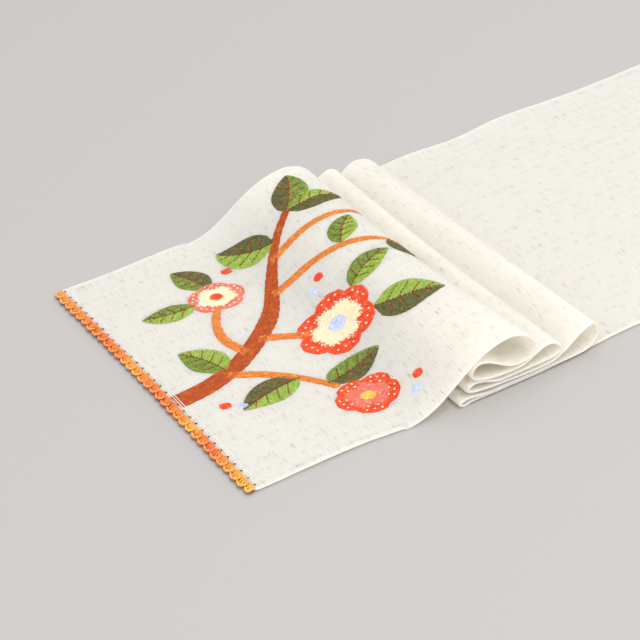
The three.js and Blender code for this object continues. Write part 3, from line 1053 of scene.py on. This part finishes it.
def rimPlace(degrees, drawnIn, up):
    angle = math.radians(degrees)
    return np.array([(shell["rimHalfWidth"] - drawnIn) * math.sin(angle),
            shell["rimFrom"] + (shell["rimReach"] - drawnIn) * math.cos(angle), up])


def shellStrands():
    # one shell: (from, to, radius, arch, painted highlight boost), each place as (along the hem, outwards, up)
    strands = []
    for footAlong, footOut, topAlong, topOut in shell["posts"]:
        foot = np.array([footAlong, footOut, shell["footHeight"]])
        top = np.array([topAlong, topOut, shell["topHeight"]])
        for side in (-shell["legSpread"], shell["legSpread"]):
            strands.append((foot + [side * shell["footSpread"], 0, 0], top + [side, 0, 0],
                    shell["postRadius"], shell["arch"], 0.0))
        for part in shell["wraps"]:
            along, outwards, dip = shell["wrapHalf"]
            middle = mix(foot, top, part) + [0, 0, shell["wrapRise"] - dip]
            half = np.array([along + shell["wrapSpread"] * part, outwards, 0])
            strands.append((middle - half, middle + half, shell["wrapRadius"], shell["wrapArch"], 0.0))
    angles = np.linspace(-shell["rimAngle"], shell["rimAngle"], shell["chainCount"] + 1)
    for start, end in zip(angles[:-1], angles[1:]):
        for inset in shell["chainInsets"]:
            up = shell["chainHeight"] + shell["innerRise"] * inset
            strands.append((rimPlace(start, inset, up),
                    rimPlace(end + shell["chainOverlap"], shell["chainEnd"], up),
                    shell["chainRadius"], shell["arch"], shell["rimPaintedHighlight"]))
    return strands


def placeShell(spots, y, size, turn, tilt, shift):
    # the strands' places in a shell, turned and leaned, then laid along the hem at y
    along = (spots[:, 0] * math.cos(turn) - spots[:, 1] * math.sin(turn)) * size
    out = (spots[:, 1] * math.cos(turn) + spots[:, 0] * math.sin(turn)) * size
    along = along + shell["lean"] * np.clip(out, 0, None) / shell["leanOver"] + shift[0]
    up = np.maximum(spots[:, 2] + tilt * np.maximum(along - shell["standsFrom"], 0), shell["lowest"])
    limit = halfWidth - shell["fromSide"]
    across = np.clip(y - along + shell["lean"] / shell["leanBack"], -limit, limit)
    return np.stack([-(out + shell["outwardShift"] * shift[1]), across, up], -1)


def layYarn(starts, ends, radii, arches):
    # the bar of yarn along each strand, arched and drawn in at its ends, and its mm along and round it
    tx, ty, tz = yarnShape.T
    tip, neck = shell["strandEnds"]
    drawn = np.where(np.abs(tx) > 0.45, tip, np.where(np.abs(tx) > 0.35, neck, 1.0))
    run = ends - starts
    length = np.linalg.norm(run, axis=1)[:, None]
    ahead = run / length
    beside = np.cross([0.0, 0.0, 1.0], ahead)
    beside /= np.linalg.norm(beside, axis=1, keepdims=True)
    over = np.cross(ahead, beside)
    thickness = 2 * radii[:, None] * drawn
    places = (mix(starts, ends, 0.5)[:, None] + ahead[:, None] * (tx * (length + shell["strandOverlap"]))[..., None]
            + beside[:, None] * (ty * thickness)[..., None]
            + over[:, None] * (tz * thickness + arches[:, None] * (1 - (2 * tx) ** 2))[..., None])
    places[..., 2] = np.clip(places[..., 2], *shell["heightLimits"])
    return places, np.stack([tx * length, np.arctan2(tz, ty) * radii[:, None]], -1)


def makeEdging(name, material, hemOf, direction):
    strands = shellStrands()
    starts, ends, radii, arches, paintedHighlightBoosts = (np.array([strand[part] for strand in strands], float)
            for part in range(5))
    laid = []
    for order in range(shell["count"]):
        y = -halfWidth + (order + 0.5) * shellPitch
        size = chance.uniform(*shell["sizeRange"])
        if order in (0, shell["count"] - 1):
            size *= shell["endSize"]
        turn = math.radians(chance.uniform(-shell["turn"], shell["turn"]))
        tilt = shell["cup"] * chance.uniform(*shell["cupRange"])
        shift = chance.uniform(-shell["shift"], shell["shift"], 2)
        jitter = chance.normal(0, shell["unevenness"], (2, len(starts), 3))
        places = [placeShell(spots + noise, y, size, turn, tilt, shift)
                for spots, noise in ((starts, jitter[0]), (ends, jitter[1]))]
        laid.append(layYarn(*places, radii, arches))
    positions, uv = (np.concatenate(parts) for parts in zip(*laid))
    positions[..., 0] = hemOf(positions[..., 1]) + direction * positions[..., 0]
    if direction < 0:
        positions[..., 1] *= -1
    # the level that sets the yarn's painted shade and highlight
    tone = yarnShape[:, 2] + paintedHighlightBoosts[:, None]  # how high a place lies in its strand
    piece = pieceOf(name, yarnFaces, toPart(positions), uv, np.tile(tone, (shell["count"], 1)))
    piece.data.materials.append(material)
    return piece


# The small holes that the edging is worked through, just inside its posts: dark discs on the cloth, painted with
# the shade seen down inside each hole.
# the two colours of the painted shade inside a hole, at its middle and at its rim
needleHole = {"fromRow": 0.9, "size": (1.9, 2.0), "sizeRange": (0.7, 1.15), "shift": 0.2, "lift": 0.03,
              "deepShade": "#1C120B", "rimShade": "#3E2C1E", "patchPerMetre": 1500.0, "finish": {"Roughness": 1.0}}


def makeNeedleHoleShade():
    deselectAll()
    bpy.ops.mesh.primitive_circle_add(vertices=8, radius=0.5, fill_type="NGON")
    farRow = clothLength - runner["stitchInset"] - needleHole["fromRow"]
    places = []
    for order in range(shell["count"]):
        y = -halfWidth + (order + 0.5) * shellPitch + shell["lean"] / shell["leanBack"]
        places += [(needleHole["fromRow"], y), (farRow, -y)]
    places = np.array(places) + chance.uniform(-needleHole["shift"], needleHole["shift"], (len(places), 2))
    size = np.array(needleHole["size"]) * chance.uniform(*needleHole["sizeRange"], (len(places), 1))
    # dark discs painted with the shade seen down inside the holes
    piece = scatter("needle_hole_shade", places, size, needleHole["lift"], 0)
    material, tree, shader = startMaterial("shade inside a needle hole in linen", needleHole["finish"])
    place = addNode(tree, "TexCoord")
    patch = addNode(tree, "TexNoise", {"Scale": needleHole["patchPerMetre"]}, {"Vector": place})
    shade = addNode(tree, "Mix", {"data_type": "RGBA", 6: colour(needleHole["deepShade"]),
            7: colour(needleHole["rimShade"])}, {0: patch})
    tree.links.new(shade, shader.inputs["Base Color"])
    piece.data.materials.append(material)
    return piece


crochetMaterial = makeCrochetCotton()
startEdging = makeEdging("crochet_start", crochetMaterial, hemShift, 1)
endEdging = makeEdging("crochet_end", crochetMaterial,
        lambda y: endHemX - runner["stitchInset"] + 0 * y, -1)
needleHoleShade = makeNeedleHoleShade()
print("edging worked:", len(startEdging.data.polygons), "faces")


# Table, light and surroundings.
studio = {"floor": "#B1AEAC", "floorSize": 8.0, "surround": "#FFFFFF", "surroundStrength": 1.0,
          "floorFinish": {"Roughness": 0.9, "Specular IOR Level": 0.1}}
lamps = [
    {"name": "frontLight", "place": (0.1, -1.6, 2.5), "size": 2.2, "power": 47.9},
    {"name": "backLight", "place": (0.8, 1.3, 2.3), "size": 1.8, "power": 10.5},
]


def makeStudio():
    deselectAll()
    bpy.ops.mesh.primitive_plane_add(size=studio["floorSize"], location=(0, 0, 0))
    floor = bpy.context.object
    floor.name = "floor"
    material, _, shader = startMaterial("plain pale floor", studio["floorFinish"])
    shader.inputs["Base Color"].default_value = colour(studio["floor"])
    floor.data.materials.append(material)
    for lamp in lamps:
        bpy.ops.object.light_add(type="AREA", location=lamp["place"])
        light = bpy.context.object
        light.name = lamp["name"]
        light.data.size = lamp["size"]
        light.data.energy = lamp["power"]
        aim = -light.location
        light.rotation_mode = "QUATERNION"
        light.rotation_quaternion = aim.to_track_quat("-Z", "Y")
    world = bpy.context.scene.world or bpy.data.worlds.new("surround")
    bpy.context.scene.world = world
    bpy.context.scene.view_settings.view_transform = "Standard"  # shows the colours as they are set
    world.use_nodes = True
    background = world.node_tree.nodes["Background"]
    background.inputs["Color"].default_value = colour(studio["surround"])
    background.inputs["Strength"].default_value = studio["surroundStrength"]


makeStudio()
print("studio lit")

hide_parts("runner_cloth")
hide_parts("edging_start")
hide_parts("edging_end")
slots = [(cloth, "linen"), (needleHoleShade, "linen"), (startEdging, "edging_yarn"), (endEdging, "edging_yarn"),
         *[(piece, "embroidery_thread") for piece in stitchPieces]]
for piece, slotName in slots:
    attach(piece, "root")
